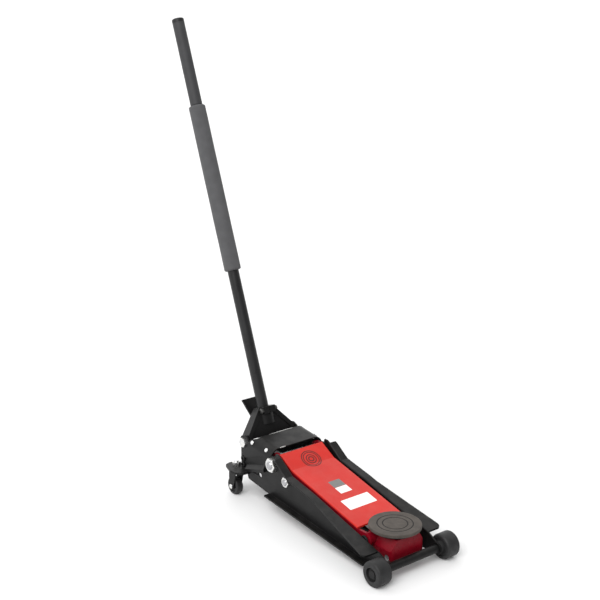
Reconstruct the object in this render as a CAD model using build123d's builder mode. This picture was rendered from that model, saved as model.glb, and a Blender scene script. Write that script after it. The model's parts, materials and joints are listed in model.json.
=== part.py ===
from build123d import *
import os
from math import atan2, cos, degrees, radians, sin, tan

# A two tonne hydraulic floor jack, standing on its wheels with the saddle down.
# +X runs forward to the saddle, +Y to the jack's left, +Z up from the floor.
# The origin is on the floor, under the middle of the whole jack with its handle.

os.makedirs("parts", exist_ok=True)

# ---- Driving dimensions, in millimetres and degrees ----
# Wheels and front axle
FRONT_WHEEL_R = 30
FRONT_WHEEL_INNER_Y = 85
FRONT_WHEEL_WIDTH = 37.5
AXLE_R = 10
AXLE_Z = 30
RUN_FIT = 0.06

# Handle: length from the yoke pivot, lean, and tube sizes
HANDLE_LEAN = 20.55
HANDLE_LENGTH = 1089
YOKE_BACK = 537
YOKE_Z = 150
TUBE_R = 14.6
TUBE_BORE_R = 12.1
GRIP_R = 15.6
FOAM_R = 21.75

# The front axle stands forward of the origin by half the overall length less a wheel
HANDLE_BACK = YOKE_BACK + HANDLE_LENGTH * sin(radians(HANDLE_LEAN)) + GRIP_R * cos(radians(HANDLE_LEAN))
FRONT_AXLE_X = (HANDLE_BACK - FRONT_WHEEL_R) / 2

# Side plates
WEB_INNER = 74
PLATE_T = 4
WEB_OUTER = WEB_INNER + PLATE_T
FLANGE_REAR_Y = 96
FLANGE_FRONT_Y = 118
LIP_Y = 96

# Lift pivot, saddle carrier pivots and the level link below them, from the front axle
LIFT_PIVOT = (-415, 132)
CARRIER_PIVOT = (-85, 61)
LINK_OFFSET = (55, -26)
LIFT_SWING = 60
PIVOT_R = 13
PIVOT_THREAD_R = 10
PIVOT_EAR_R = 21
LINK_SHAFT_R = 8
CARRIER_PIN_R = 8
LINK_PIN_R = 7

# Lift arm
ARM_Y = 66
ARM_SIDE_T = 6
ARM_TOP_DROP = 4.3
LEVER_ARM = 50
LEVER_PIN_R = 9

# Ram
RAM_Z = 87
CYLINDER_R = 26
CYLINDER_BORE_R = 20
RAM_ROD_R = 14
BLOCK_FRONT = -524
CYLINDER_FRONT = -470
GLAND_FRONT = -465
LEVER_GAP = 1.0

# Pump and release valve
PUMP_X = -563
PLUNGER_R = 8
ROLLER_R = 9
ROLLER_V = 22.8
ROLLER_U = 16.3
ROLLER_GAP = 1.1

# Rear cover
COVER_FRONT = (-421, 167.9)
COVER_SLOPE = 5.26
COVER_T = 2.5
COVER_Y = 81
SHOULDER_R = 26
NUT_NOTCH_R = 20.5

# Casters
CASTER_X = -565
CASTER_Y = 84
CASTER_TRAIL = 5
CASTER_R = 22.5
CASTER_PLATE_Z = 74

# Saddle
SADDLE_X = -59
SADDLE_TOP = 93
SADDLE_R = 61


# ---- Planes and helpers ----
def place(x, z):
    """A point of the side view, from its distance ahead of the front axle and its height."""
    return (FRONT_AXLE_X + x, z)


def places(points):
    """Several points of the side view."""
    return [place(x, z) for x, z in points]


def side_plane(y, centre=None):
    """The side-view plane at y, facing the jack's right; a centre moves its origin."""
    x, z = centre if centre else (0, 0)
    return Plane(origin=(x, y, z), x_dir=(1, 0, 0), z_dir=(0, -1, 0))


def plan_plane(z, centre):
    """A level plane at height z with its origin at a plan-view centre."""
    return Plane(origin=(centre[0], centre[1], z), x_dir=(1, 0, 0), z_dir=(0, 0, 1))


def keep(piece, name):
    """Label a finished piece and write its STEP file."""
    piece.part.label = name
    export_step(piece.part, f"parts/{name}.step")


def keep_group(solids, name):
    """Write separate identical solids as one node."""
    with BuildPart() as pieces:
        add(solids)
    keep(pieces, name)


def other_side(part):
    """The same solid on the other side of the jack's middle plane."""
    return mirror(part, about=Plane.XZ)


def rod(plane, radius, length, bore=0, end_chamfer=0):
    """A round bar or tube standing on a plane."""
    with BuildPart() as bar:
        with BuildSketch(plane):
            Circle(radius)
            if bore:
                Circle(bore, mode=Mode.SUBTRACT)
        extrude(amount=length)
        if end_chamfer:
            ends = bar.edges().filter_by(GeomType.CIRCLE).filter_by(lambda e: abs(e.radius - radius) < 0.01)
            chamfer(ends, length=end_chamfer)
    return bar.part


def hexagon(plane, flats, height, bore=0):
    """A hexagon head or nut standing on a plane, its outer corners turned off at 30 degrees."""
    face_r = flats / 2 * 0.97
    with BuildPart() as nut:
        with BuildSketch(plane):
            RegularPolygon(radius=flats / 2, side_count=6, major_radius=False)
            if bore:
                Circle(bore, mode=Mode.SUBTRACT)
        extrude(amount=height)
        with Locations(plane):
            Cone(
                bottom_radius=face_r + height * tan(radians(60)),
                top_radius=face_r,
                height=height,
                align=(Align.CENTER, Align.CENTER, Align.MIN),
                mode=Mode.INTERSECT,
            )
    return nut.part


LIFT = place(*LIFT_PIVOT)
CARRIER = place(*CARRIER_PIVOT)
LINK_REAR = (LIFT[0] + LINK_OFFSET[0], LIFT[1] + LINK_OFFSET[1])
LINK_FRONT = (CARRIER[0] + LINK_OFFSET[0], CARRIER[1] + LINK_OFFSET[1])
LEVER_HALF = radians(LIFT_SWING / 2)
LEVER = (LIFT[0] - LEVER_ARM * sin(LEVER_HALF), LIFT[1] - LEVER_ARM * cos(LEVER_HALF))
AXLE = place(0, AXLE_Z)
YOKE = place(-YOKE_BACK, YOKE_Z)
LEAN = radians(HANDLE_LEAN)
UP_HANDLE = (-sin(LEAN), 0, cos(LEAN))
BEHIND_HANDLE = (-cos(LEAN), 0, -sin(LEAN))
YOKE_ORIGIN = (YOKE[0], 0, YOKE[1])

# Side view of the yoke: local x runs behind the handle, local y up the handle
YOKE_SIDE = Plane(origin=YOKE_ORIGIN, x_dir=BEHIND_HANDLE, z_dir=(0, 1, 0))
# Front view of the yoke: local y up the handle, normal behind the handle
YOKE_FRONT = Plane(origin=YOKE_ORIGIN, x_dir=(0, -1, 0), z_dir=BEHIND_HANDLE)
# Across the handle: normal up the handle, local y behind the handle
HANDLE_BASE = Plane(origin=YOKE_ORIGIN, x_dir=(0, 1, 0), z_dir=UP_HANDLE)

# ---- Side plates: pressed channels with a wide top flange that flares over the front wheels ----
TOP_EDGE = [(-386, 159), (-340, 128), (-253, 112), (-134, 84), (-30, 60)]
WEB_REAR = -551
WEB_HOLE = (-471, 84)
FRAME_BOLTS = [(-540, 89), (-540, 106)]

with BuildPart() as side_plate_right:
    with BuildSketch(side_plane(-WEB_INNER)):
        with BuildLine():
            top = places(TOP_EDGE)
            under = [(x, z - PLATE_T) for x, z in reversed(top)]
            Polyline(*top, *under, close=True)
        make_face()
    extrude(amount=FLANGE_FRONT_Y - WEB_INNER)
    with BuildSketch(Plane.XY) as flange_plan:
        with BuildLine():
            Polyline(
                place(-387, -WEB_INNER),
                place(-387, -FLANGE_REAR_Y),
                place(-230, -FLANGE_REAR_Y),
                place(-45, -FLANGE_FRONT_Y),
                place(-30, -FLANGE_FRONT_Y),
                place(-30, -WEB_INNER),
                close=True,
            )
        make_face()
        front_corner = flange_plan.vertices().sort_by(Axis.Y)[:2]
        fillet(front_corner.sort_by(Axis.X)[-1], radius=11)
        fillet(flange_plan.vertices().filter_by_position(
            Axis.Y, -FLANGE_REAR_Y - 1, -FLANGE_REAR_Y + 1).sort_by(Axis.X)[0], radius=6)
    extrude(amount=200, mode=Mode.INTERSECT)
    with BuildSketch(side_plane(-WEB_INNER)):
        with BuildLine():
            Polyline(
                *places([(0, 45), (-30, 60), (-134, 84), (-253, 112), (-340, 128), (-386, 159)]),
                *places([(-396, 163), (-405, 163), (-409, 145), (-503, 145), (-518, 155)]),
            )
            ThreePointArc(place(-518, 155), place(-537, 168.5), place(-555, 150))
            Polyline(*places([
                (-555, 150), (WEB_REAR, 135), (WEB_REAR, 76), (-527, 76),
                (-520, 57), (-430, 46), (-60, 16), (0, 15),
            ]))
            ThreePointArc(place(0, 15), place(15, 30), place(0, 45))
        make_face()
        with Locations(LIFT):
            Circle(PIVOT_EAR_R)
    extrude(amount=PLATE_T)
    with BuildSketch(side_plane(-WEB_OUTER)):
        with BuildLine():
            Polyline(
                *places([(-430, 46), (-60, 16), (-60, 20), (-430, 50)]),
                close=True,
            )
        make_face()
    extrude(amount=LIP_Y - WEB_OUTER)
    bends = [((a[0] + b[0]) / 2, (a[1] + b[1]) / 2) for a, b in zip(top, top[1:])]
    bend_edges = side_plate_right.edges().filter_by(
        lambda e: abs(e.center().Y + WEB_INNER) < 0.01
        and any(abs(e.center().X - x) < 1 and abs(e.center().Z - z) < 1 for x, z in bends))
    fillet(bend_edges, radius=3.5)
    with BuildSketch(side_plane(-WEB_INNER)):
        with Locations(AXLE):
            Circle(AXLE_R)
        with Locations(LIFT):
            Circle(PIVOT_R)
        with Locations(LINK_REAR, YOKE):
            Circle(LINK_SHAFT_R)
        with Locations(*places(FRAME_BOLTS)):
            Circle(5)
        with Locations(place(*WEB_HOLE)):
            Circle(7)
    extrude(amount=PLATE_T, mode=Mode.SUBTRACT)
keep(side_plate_right, "side_plate_right")

with BuildPart() as side_plate_left:
    add(other_side(side_plate_right.part))
keep(side_plate_left, "side_plate_left")

# ---- Front axle, with a push-on cap outside each wheel ----
AXLE_END = 121
HUB_FACE = 114.5
with BuildPart() as front_axle:
    add(rod(side_plane(AXLE_END, AXLE), AXLE_R, 2 * AXLE_END, end_chamfer=1))
keep(front_axle, "front_axle")

axle_cap = rod(side_plane(-HUB_FACE - 0.4, AXLE), 13, 4, bore=AXLE_R, end_chamfer=0.8)
keep_group([axle_cap, other_side(axle_cap)], "axle_caps")

# ---- Front wheels: solid rollers with a round tread edge, recessed faces and a hub boss inside ----
with BuildPart() as front_wheel_right:
    with BuildSketch(side_plane(-FRONT_WHEEL_INNER_Y, AXLE)):
        Circle(FRONT_WHEEL_R)
    extrude(amount=FRONT_WHEEL_WIDTH)
    fillet(front_wheel_right.edges().filter_by(GeomType.CIRCLE), radius=5.5)
    with BuildSketch(side_plane(-HUB_FACE, AXLE)):
        Circle(16.5)
    extrude(amount=20, mode=Mode.SUBTRACT)
    with BuildSketch(side_plane(-FRONT_WHEEL_INNER_Y, AXLE)):
        Circle(22)
        Circle(15, mode=Mode.SUBTRACT)
    extrude(amount=3, mode=Mode.SUBTRACT)
    with BuildSketch(side_plane(-WEB_OUTER - 0.4, AXLE)):
        Circle(15)
    extrude(amount=FRONT_WHEEL_INNER_Y - WEB_OUTER)
    with BuildSketch(side_plane(-WEB_OUTER, AXLE)):
        Circle(AXLE_R + RUN_FIT)
    extrude(amount=60, mode=Mode.SUBTRACT)
keep(front_wheel_right, "front_wheel_right")

with BuildPart() as front_wheel_left:
    add(other_side(front_wheel_right.part))
keep(front_wheel_left, "front_wheel_left")

# ---- Lift pivot shaft and its nuts ----
PIVOT_END = 93
with BuildPart() as main_pivot_shaft:
    add(rod(side_plane(WEB_OUTER, LIFT), PIVOT_R, 2 * WEB_OUTER))
    add(rod(side_plane(-WEB_OUTER, LIFT), PIVOT_THREAD_R, PIVOT_END - WEB_OUTER, end_chamfer=1.5))
    add(rod(side_plane(PIVOT_END, LIFT), PIVOT_THREAD_R, PIVOT_END - WEB_OUTER, end_chamfer=1.5))
keep(main_pivot_shaft, "main_pivot_shaft")

pivot_nut = hexagon(side_plane(-WEB_OUTER, LIFT), 32, 12, bore=PIVOT_THREAD_R)
keep_group([pivot_nut, other_side(pivot_nut)], "main_pivot_nuts")

# ---- Shaft of the level link, its nuts and the spacer tubes that hold the rods apart ----
LINK_ROD_Y = (26, 34)
LINK_SHAFT_END = 88
with BuildPart() as link_shaft:
    add(rod(side_plane(LINK_SHAFT_END, LINK_REAR), LINK_SHAFT_R, 2 * LINK_SHAFT_END, end_chamfer=1))
keep(link_shaft, "link_shaft")

link_nut = hexagon(side_plane(-WEB_OUTER, LINK_REAR), 23, 8, bore=LINK_SHAFT_R)
keep_group([link_nut, other_side(link_nut)], "link_shaft_nuts")
mid_spacer = rod(side_plane(LINK_ROD_Y[0] - 0.4, LINK_REAR), 11, 2 * LINK_ROD_Y[0] - 0.8, bore=LINK_SHAFT_R)
end_spacer = rod(side_plane(-LINK_ROD_Y[1] - 0.4, LINK_REAR), 11, 24, bore=LINK_SHAFT_R)
keep_group([mid_spacer, end_spacer, other_side(end_spacer)], "link_spacers")

# ---- Rear cover: a folded sheet with round shoulders over the side plates ----
slope = radians(COVER_SLOPE)
cover_plane = Plane(
    origin=(FRONT_AXLE_X + COVER_FRONT[0], 0, COVER_FRONT[1]),
    x_dir=(0, -1, 0),
    z_dir=(-cos(slope), 0, sin(slope)),
)
# Screws square to the shoulder: distance behind the cover's front, and angle above level
COVER_SCREWS = [(79, 26), (23, 35)]
SCREW_R = 3
SCREW_HEAD_R = 5.2
SCREW_HEAD = 2.8
SCREW_SHANK = 9
SCREW_NUT = 9
SCREW_NUT_HIGH = 4
SCREW_NUT_DEPTH = COVER_T + 4.8


def shoulder_plane(distance, angle):
    """The plane on the right shoulder's skin, facing out, behind the cover's front by a distance."""
    across = Vector(0, -1, 0)
    up = Vector(sin(slope), 0, cos(slope))
    out = across * cos(radians(angle)) + up * sin(radians(angle))
    middle = cover_plane.origin + cover_plane.z_dir * distance
    skin = middle + across * (COVER_Y - SHOULDER_R) - up * SHOULDER_R + out * SHOULDER_R
    return Plane(origin=skin, x_dir=cover_plane.z_dir, z_dir=out)


with BuildPart() as rear_cover:
    with BuildSketch(cover_plane) as outside:
        Rectangle(2 * COVER_Y, 80, align=(Align.CENTER, Align.MAX))
        fillet(outside.vertices().group_by(Axis.Y)[-1], radius=SHOULDER_R)
        with BuildSketch(mode=Mode.PRIVATE) as inside:
            Rectangle(2 * (COVER_Y - COVER_T), 80 - COVER_T, align=(Align.CENTER, Align.MAX))
            fillet(inside.vertices().group_by(Axis.Y)[-1], radius=SHOULDER_R - COVER_T)
        add(inside.sketch.moved(Location((0, -COVER_T))), mode=Mode.SUBTRACT)
    extrude(amount=130)
    with BuildSketch(side_plane(0)) as cover_side:
        with BuildLine():
            Polyline(
                *places([
                    (-400, 200), (-492, 200), (-492, 172), (-512, 164),
                    (-541, 107), (-447, 143.5), (-400, 147),
                ]),
                close=True,
            )
        make_face()
        fillet(cover_side.vertices().sort_by(Axis.X)[0], radius=5)
    extrude(amount=100, both=True, mode=Mode.INTERSECT)
    with BuildSketch(side_plane(0)):
        with Locations(LIFT):
            Circle(NUT_NOTCH_R)
    extrude(amount=100, both=True, mode=Mode.SUBTRACT)
    for screw_place in COVER_SCREWS:
        screw_hole = rod(shoulder_plane(*screw_place).offset(-6), SCREW_R, 12)
        add(screw_hole, mode=Mode.SUBTRACT)
        add(other_side(screw_hole), mode=Mode.SUBTRACT)
keep(rear_cover, "rear_cover")

screws = []
for screw_place in COVER_SCREWS:
    seat = shoulder_plane(*screw_place)
    with BuildPart() as screw:
        add(rod(seat.offset(-SCREW_SHANK), SCREW_R, SCREW_SHANK))
        add(rod(seat, SCREW_HEAD_R, SCREW_HEAD, end_chamfer=1))
        add(hexagon(seat.offset(-SCREW_NUT_DEPTH), SCREW_NUT, SCREW_NUT_HIGH))
    screws += [screw.part, other_side(screw.part)]
keep_group(screws, "cover_screws")

# ---- Pump block: reservoir, cylinder head with mounting ears, pump barrel and valve boss ----
PUMP_CENTRE = (FRONT_AXLE_X + PUMP_X, 0)
VALVE_CENTRE = (YOKE[0], 0)
BLOCK_Z = 58
RESERVOIR_TOP = 100
HEAD_TOP = 116
BARREL_TOP = 114
BOLT_INNER_Y = 58
with BuildPart() as pump_block:
    with BuildSketch(plan_plane(BLOCK_Z, (FRONT_AXLE_X, 0))):
        with Locations((-571, 0)):
            RectangleRounded(50, 76, 6)
    extrude(amount=RESERVOIR_TOP - BLOCK_Z)
    with BuildSketch(plan_plane(BLOCK_Z, (FRONT_AXLE_X, 0))):
        with Locations(((-550 + BLOCK_FRONT) / 2 + 2, 0)):
            Rectangle(22, 76)
    extrude(amount=HEAD_TOP - BLOCK_Z)
    with BuildSketch(plan_plane(82, (FRONT_AXLE_X, 0))):
        with Locations((-540, 0)):
            Rectangle(16, 2 * WEB_INNER)
    extrude(amount=30)
    with BuildSketch(plan_plane(RESERVOIR_TOP, PUMP_CENTRE)):
        Circle(11.2)
    extrude(amount=BARREL_TOP - RESERVOIR_TOP)
    with BuildSketch(plan_plane(HEAD_TOP, VALVE_CENTRE)):
        Circle(10.5)
    extrude(amount=4)
    with BuildSketch(plan_plane(BARREL_TOP, PUMP_CENTRE)):
        Circle(PLUNGER_R + RUN_FIT)
    extrude(amount=-48, mode=Mode.SUBTRACT)
    with BuildSketch(plan_plane(HEAD_TOP + 4, VALVE_CENTRE)):
        Circle(5 + RUN_FIT)
    extrude(amount=-10.5, mode=Mode.SUBTRACT)
    block_face = Plane(origin=(FRONT_AXLE_X + BLOCK_FRONT, 0, RAM_Z), x_dir=(0, 1, 0), z_dir=(1, 0, 0))
    with BuildSketch(block_face):
        Circle(CYLINDER_BORE_R)
    extrude(amount=-21, mode=Mode.SUBTRACT)
    for ear_y in (WEB_INNER, -BOLT_INNER_Y):
        with BuildSketch(side_plane(ear_y)):
            with Locations(*places(FRAME_BOLTS)):
                Circle(5)
        extrude(amount=WEB_INNER - BOLT_INNER_Y, mode=Mode.SUBTRACT)
keep(pump_block, "pump_block")

frame_bolts = []
for centre in places(FRAME_BOLTS):
    with BuildPart() as frame_bolt:
        add(rod(side_plane(-BOLT_INNER_Y, centre), 5, WEB_OUTER - BOLT_INNER_Y))
        add(rod(side_plane(-WEB_OUTER, centre), 7.5, 4.5, bore=3.5, end_chamfer=0.8))
    frame_bolts += [frame_bolt.part, other_side(frame_bolt.part)]
keep_group(frame_bolts, "frame_bolts")

# Filler plug on the reservoir and the safety valve's cap beside it
filler = hexagon(plan_plane(RESERVOIR_TOP, (FRONT_AXLE_X - 584, 22)), 14, 6)
safety = hexagon(plan_plane(RESERVOIR_TOP, (FRONT_AXLE_X - 584, -22)), 14, 6)
keep_group([filler, safety], "reservoir_plugs")

# ---- Ram cylinder, gland and the pair of return springs beside it ----
def ram_plane(x, y=0):
    """A plane across the ram axis at x, facing forward."""
    return Plane(origin=(FRONT_AXLE_X + x, y, RAM_Z), x_dir=(0, 1, 0), z_dir=(1, 0, 0))


with BuildPart() as ram_cylinder:
    add(rod(ram_plane(BLOCK_FRONT), CYLINDER_R, CYLINDER_FRONT - BLOCK_FRONT, bore=CYLINDER_BORE_R))
keep(ram_cylinder, "ram_cylinder")

with BuildPart() as cylinder_gland:
    gland_length = GLAND_FRONT - CYLINDER_FRONT
    add(rod(ram_plane(CYLINDER_FRONT), CYLINDER_R - 1.5, gland_length, bore=RAM_ROD_R + RUN_FIT))
keep(cylinder_gland, "cylinder_gland")

HEAD_REAR = GLAND_FRONT + 1
HEAD_FRONT = LEVER[0] - FRONT_AXLE_X - LEVER_PIN_R - LEVER_GAP
SPRING_Y = 34
return_spring = rod(ram_plane(BLOCK_FRONT, -SPRING_Y), 6.4, HEAD_REAR - BLOCK_FRONT, bore=4)
keep_group([return_spring, other_side(return_spring)], "return_springs")

# ---- Ram rod with its piston, and the crosshead that pushes the lift arm's lever pin ----
PISTON_REAR = -541
with BuildPart() as ram_rod:
    add(rod(ram_plane(PISTON_REAR), CYLINDER_BORE_R - RUN_FIT, 14))
    add(rod(ram_plane(PISTON_REAR + 14), RAM_ROD_R, HEAD_REAR + 6 - PISTON_REAR - 14))
keep(ram_rod, "ram_rod")

with BuildPart() as ram_head:
    with BuildSketch(ram_plane(HEAD_REAR)):
        RectangleRounded(48, 32, 5)
        RectangleRounded(84, 16, 5)
    extrude(amount=HEAD_FRONT - HEAD_REAR)
    with BuildSketch(ram_plane(HEAD_REAR)):
        Circle(RAM_ROD_R)
    extrude(amount=6, mode=Mode.SUBTRACT)
keep(ram_head, "ram_head")

# ---- Lift arm: top plate, two cheeks with the ram lever, pivot bush and lever pin ----
ARM_TOP = [(-403, 159.5), (-356, 134), (-113, 82)]
ARM_CHEEK_Y = ARM_Y - ARM_SIDE_T
# Ring notch that lets the cheek swing past the link shaft: radii and angles about the lift pivot
NOTCH_R = (51, 71)
link_angle = degrees(atan2(LINK_OFFSET[1], LINK_OFFSET[0]))
NOTCH_ANGLES = (link_angle - LIFT_SWING - 9, link_angle + 9)
with BuildPart() as lift_arm_top_plate:
    with BuildSketch(side_plane(0)):
        with BuildLine():
            top = places(ARM_TOP)
            under = [(x, z - ARM_TOP_DROP) for x, z in reversed(top)]
            Polyline(*top, *under, close=True)
        make_face()
    extrude(amount=ARM_Y, both=True)
    side_faces = lift_arm_top_plate.faces().filter_by(Axis.Y)
    middles = [Vector((a[0] + b[0]) / 2, 0, (a[1] + b[1]) / 2) for a, b in zip(top, top[1:])]
    top_edges = side_faces.edges().filter_by(
        lambda e: any((Vector(e.center().X, 0, e.center().Z) - middle).length < 0.5 for middle in middles))
    fillet(top_edges, radius=2.5)
keep(lift_arm_top_plate, "lift_arm_top_plate")

with BuildPart() as lift_arm_side_right:
    with BuildSketch(side_plane(-ARM_CHEEK_Y)):
        with BuildLine():
            under = [(x, z - ARM_TOP_DROP) for x, z in places(ARM_TOP)]
            front_top = (CARRIER[0], CARRIER[1] + 18)
            front_low = (CARRIER[0], CARRIER[1] - 18)
            Polyline(*under, front_top)
            ThreePointArc(front_top, (CARRIER[0] + 18, CARRIER[1]), front_low)
            Polyline(front_low, *places([(-340, 91), (-415, 97), (-436, 120)]), under[0])
        make_face()
    extrude(amount=ARM_SIDE_T)
    with BuildSketch(side_plane(-ARM_CHEEK_Y)):
        with Locations(LIFT):
            Circle(26)
        with Locations(LEVER):
            Circle(14)
        make_hull()
    extrude(amount=ARM_SIDE_T)
    with BuildSketch(side_plane(-ARM_CHEEK_Y, LIFT)):
        with BuildLine():
            outer = CenterArc((0, 0), NOTCH_R[1], NOTCH_ANGLES[0], NOTCH_ANGLES[1] - NOTCH_ANGLES[0])
            inner = CenterArc((0, 0), NOTCH_R[0], NOTCH_ANGLES[0], NOTCH_ANGLES[1] - NOTCH_ANGLES[0])
            Line(outer @ 0, inner @ 0)
            Line(outer @ 1, inner @ 1)
        make_face()
    extrude(amount=ARM_SIDE_T, mode=Mode.SUBTRACT)
    with BuildSketch(side_plane(-ARM_CHEEK_Y)):
        with Locations(LIFT):
            Circle(20)
        with Locations(LEVER):
            Circle(LEVER_PIN_R)
        with Locations(CARRIER):
            Circle(CARRIER_PIN_R + RUN_FIT)
    extrude(amount=ARM_SIDE_T, mode=Mode.SUBTRACT)
keep(lift_arm_side_right, "lift_arm_side_right")

with BuildPart() as lift_arm_side_left:
    add(other_side(lift_arm_side_right.part))
keep(lift_arm_side_left, "lift_arm_side_left")

with BuildPart() as lift_arm_bush:
    add(rod(side_plane(ARM_Y, LIFT), 20, 2 * ARM_Y, bore=PIVOT_R + RUN_FIT))
keep(lift_arm_bush, "lift_arm_bush")

with BuildPart() as lever_pin:
    add(rod(side_plane(ARM_Y, LEVER), LEVER_PIN_R, 2 * ARM_Y))
keep(lever_pin, "lever_pin")

# ---- Saddle carrier: the cast head that stays level at the front of the arm ----
CARRIER_Y = 50
CARRIER_TOP = 77.5
CARRIER_BOTTOM = 25
CARRIER_FRONT = -15
CARRIER_REAR = -104
SLOT_Y = (24.5, 35.5)
POST_R = 15
SADDLE_CENTRE = (FRONT_AXLE_X + SADDLE_X, 0)
with BuildPart() as saddle_carrier:
    with BuildSketch(side_plane(0)) as carrier_side:
        with BuildLine():
            Polyline(
                *places([
                    (CARRIER_REAR, CARRIER_TOP),
                    (CARRIER_FRONT, CARRIER_TOP),
                    (CARRIER_FRONT, CARRIER_BOTTOM),
                    (-70, CARRIER_BOTTOM),
                    (CARRIER_REAR, 44),
                ]),
                close=True,
            )
        make_face()
        fillet(carrier_side.vertices().group_by(Axis.Y)[0].sort_by(Axis.X)[-1], radius=8)
    extrude(amount=CARRIER_Y, both=True)
    upright = saddle_carrier.edges().filter_by(Axis.Z)
    fillet(upright, radius=9)
    with BuildSketch(Plane.YZ) as carrier_front:
        with BuildLine():
            Polyline(
                (-CARRIER_Y, 0), (CARRIER_Y, 0), (CARRIER_Y, 52), (34, CARRIER_TOP), (-34, CARRIER_TOP),
                (-CARRIER_Y, 52), close=True,
            )
        make_face()
        fillet(carrier_front.vertices().group_by(Axis.Z)[1:], radius=8)
    extrude(amount=600, mode=Mode.INTERSECT)
    with BuildSketch(side_plane(-59.5)):
        with Locations(CARRIER):
            Circle(15)
    extrude(amount=-119)
    for slot_y in (SLOT_Y[1], -SLOT_Y[0]):
        with BuildSketch(side_plane(slot_y)):
            with BuildLine():
                Polyline(
                    *places([(-18, 15), (-18, 42), (-24, 46.5), (-120, 67.2), (-120, 15)]),
                    close=True,
                )
            make_face()
        extrude(amount=SLOT_Y[1] - SLOT_Y[0], mode=Mode.SUBTRACT)
    with BuildSketch(plan_plane(CARRIER_BOTTOM, SADDLE_CENTRE)):
        Circle(POST_R + RUN_FIT)
    extrude(amount=60, mode=Mode.SUBTRACT)
    with BuildSketch(side_plane(0)):
        with Locations(LINK_FRONT):
            Circle(LINK_PIN_R)
    extrude(amount=80, both=True, mode=Mode.SUBTRACT)
    for pin_y in (-40, 60):
        with BuildSketch(side_plane(pin_y)):
            with Locations(CARRIER):
                Circle(CARRIER_PIN_R)
        extrude(amount=20, mode=Mode.SUBTRACT)
keep(saddle_carrier, "saddle_carrier")

with BuildPart() as carrier_pin:
    add(rod(side_plane(-40, CARRIER), CARRIER_PIN_R, ARM_Y + 0.5 - 40))
    add(rod(side_plane(-ARM_Y - 0.5, CARRIER), 12, 4.5, end_chamfer=1))
keep_group([carrier_pin.part, other_side(carrier_pin.part)], "carrier_pins")

with BuildPart() as link_pin:
    add(rod(side_plane(CARRIER_Y, LINK_FRONT), LINK_PIN_R, 2 * CARRIER_Y))
keep(link_pin, "link_pin")

# ---- Link rods: the level link between the frame and the carrier ----
link_length = ((LINK_FRONT[0] - LINK_REAR[0]) ** 2 + (LINK_FRONT[1] - LINK_REAR[1]) ** 2) ** 0.5
link_dir = ((LINK_FRONT[0] - LINK_REAR[0]) / link_length, 0, (LINK_FRONT[1] - LINK_REAR[1]) / link_length)
with BuildPart() as link_rod_right:
    link_rear = (LINK_REAR[0], -LINK_ROD_Y[0], LINK_REAR[1])
    with BuildSketch(Plane(origin=link_rear, x_dir=link_dir, z_dir=(0, -1, 0))):
        Rectangle(link_length, 16, align=(Align.MIN, Align.CENTER))
        Circle(13)
        with Locations((link_length, 0)):
            Circle(11)
        Circle(LINK_SHAFT_R + RUN_FIT, mode=Mode.SUBTRACT)
        with Locations((link_length, 0)):
            Circle(LINK_PIN_R + RUN_FIT, mode=Mode.SUBTRACT)
    extrude(amount=LINK_ROD_Y[1] - LINK_ROD_Y[0])
keep(link_rod_right, "link_rod_right")

with BuildPart() as link_rod_left:
    add(other_side(link_rod_right.part))
keep(link_rod_left, "link_rod_left")

# ---- Saddle: steel dish on a post, rubber pad with two ring grooves, snap ring below ----
PAD_BOTTOM = 86
FLANGE_BOTTOM = 78
POST_BOTTOM = 20.5
GROOVES = (41, 28.5)
GROOVE_HALF = 1.4
with BuildPart() as saddle:
    add(rod(plan_plane(POST_BOTTOM, SADDLE_CENTRE), POST_R, FLANGE_BOTTOM - POST_BOTTOM))
    add(rod(plan_plane(FLANGE_BOTTOM, SADDLE_CENTRE), 50, PAD_BOTTOM - FLANGE_BOTTOM, end_chamfer=1))
    with BuildSketch(plan_plane(22.2, SADDLE_CENTRE)):
        Circle(POST_R)
        Circle(POST_R - 1.5, mode=Mode.SUBTRACT)
    extrude(amount=2, mode=Mode.SUBTRACT)
keep(saddle, "saddle")

with BuildPart() as saddle_pad:
    with BuildSketch(plan_plane(PAD_BOTTOM, SADDLE_CENTRE)):
        Circle(SADDLE_R)
    extrude(amount=SADDLE_TOP - PAD_BOTTOM)
    fillet(saddle_pad.edges().group_by(Axis.Z)[-1], radius=2)
    with BuildSketch(plan_plane(SADDLE_TOP, SADDLE_CENTRE)):
        for groove_r in GROOVES:
            Circle(groove_r + GROOVE_HALF)
            Circle(groove_r - GROOVE_HALF, mode=Mode.SUBTRACT)
    extrude(amount=-1.8, mode=Mode.SUBTRACT)
keep(saddle_pad, "saddle_pad")

with BuildPart() as saddle_clip:
    add(rod(plan_plane(22.2, SADDLE_CENTRE), 19, 2, bore=POST_R - 1.5))
keep(saddle_clip, "saddle_clip")

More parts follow.
